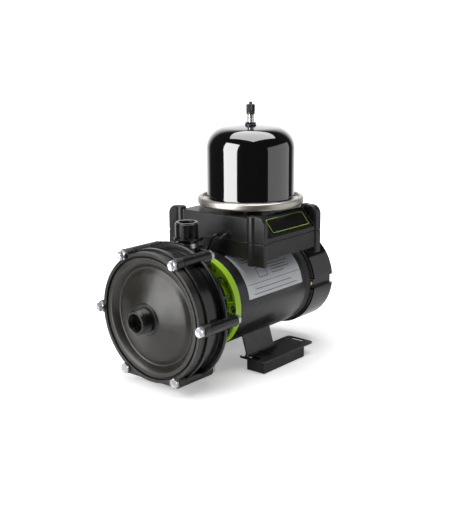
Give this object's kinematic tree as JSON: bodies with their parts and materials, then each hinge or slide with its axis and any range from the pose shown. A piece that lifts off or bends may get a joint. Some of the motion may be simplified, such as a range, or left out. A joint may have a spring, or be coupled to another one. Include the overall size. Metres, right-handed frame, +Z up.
{
  "type": "shower pump",
  "caption": "Electric shower pump with threaded end inlet and top outlet, ribbed pump head, green adaptor ring, finned-end motor on feet, wiring box and a small domed pressure vessel.",
  "frame": {"origin": "centre of the inlet's mouth, on the shaft's axis", "axes": "+Y runs along the shaft from the inlet to the motor, +Z is up towards the outlet and the pressure vessel, +X is the side with the rating label"},
  "size_m": [0.158, 0.2825, 0.2933],
  "materials": {
    "pump_plastic": "satin moulded",
    "box_plastic": "fine texture",
    "cowl_plastic": "gloss",
    "end_casting": "matt",
    "green_plastic": "satin",
    "zinc_plate": "bright zinc plated",
    "black_steel": "satin black paint",
    "vessel_paint": "gloss black paint",
    "black_screw": "black oxide",
    "stainless": "satin",
    "rubber": "matt",
    "lead_sheath": "soft sheath",
    "label_foil": "printed foil",
    "board_resin": "green resin",
    "capacitor_case": "white can",
    "brass": "machined",
    "nickel": "nickel plated",
    "cap_plastic": "ribbed",
    "shaft_steel": "ground",
    "lamination": "stacked sheet",
    "copper": "varnished copper",
    "impeller_plastic": "glass filled",
    "float_plastic": "smooth",
    "carbon": "lapped carbon",
    "seal_ceramic": "lapped",
    "fan_plastic": "moulded"
  },
  "bodies": {
    "housing": {"front_cover": "pump_plastic", "cover_o_ring": "rubber", "pump_body": "pump_plastic", "cover_bolts": "zinc_plate", "cover_nuts": "zinc_plate", "seal_seat": "seal_ceramic", "adaptor_screws": "zinc_plate", "float_guide": "impeller_plastic", "sensor_holder": "pump_plastic", "sensor_clip": "zinc_plate", "sensor_lead_a": "lead_sheath", "sensor_lead_b": "lead_sheath", "lead_saddle": "zinc_plate", "lead_grommets": "rubber", "adaptor_ring": "green_plastic", "tie_bolts": "zinc_plate", "tie_nuts": "brass", "motor_tube": "black_steel", "rating_label": "label_foil", "stator_core": "lamination", "windings": "copper", "front_bearing": "shaft_steel", "rear_bearing": "shaft_steel", "rear_end_shield": "end_casting", "fan_cowl": "cowl_plastic", "foot_plate_right": "black_steel", "foot_plate_left": "black_steel", "rubber_foot_right": "rubber", "rubber_foot_left": "rubber", "box_base": "box_plastic", "box_lid": "box_plastic", "lid_screws": "black_screw", "badge_plate": "cowl_plastic", "circuit_board": "board_resin", "run_capacitor": "capacitor_case", "cable_gland": "box_plastic", "vessel_base": "vessel_paint", "clamp_ring": "stainless", "vessel_dome": "vessel_paint", "diaphragm": "rubber", "vessel_nut": "brass", "valve_stem": "nickel", "valve_nut": "black_screw", "valve_insert": "brass"},
    "rotor": {"motor_shaft": "shaft_steel", "rotor_core": "lamination", "impeller": "impeller_plastic", "impeller_nut": "brass", "seal_rotor": "carbon", "seal_spring": "shaft_steel", "cooling_fan": "fan_plastic", "fan_clip": "shaft_steel"},
    "float": {"flow_float": "float_plastic"},
    "valve_core": {"valve_pin": "brass"},
    "cap_washer": {"cap_seal": "rubber"},
    "cap": {"valve_cap": "cap_plastic"}
  },
  "joints": [
    {"name": "rotor_spin", "type": "hinge", "parent": "housing", "child": "rotor", "pos_m": [0, 0.15, 0], "axis": [0, 1, 0], "continuous": true},
    {"name": "float_lift", "type": "slide", "parent": "housing", "child": "float", "axis": [0, 0, 1], "range_m": [0, 0.008]},
    {"name": "valve_press", "type": "slide", "parent": "housing", "child": "valve_core", "axis": [0, 0, 1], "range_m": [-0.0015, 0], "stiffness_N_per_m": 600},
    {"name": "cap_lift", "type": "slide", "parent": "housing", "child": "cap_washer", "axis": [0, 0, 1], "range_m": [0, 0.0065]},
    {"name": "cap_turn", "type": "hinge", "parent": "cap_washer", "child": "cap", "pos_m": [0, 0.191, 0.2], "axis": [0, 0, 1], "range_deg": [0, 2880]}
  ]
}
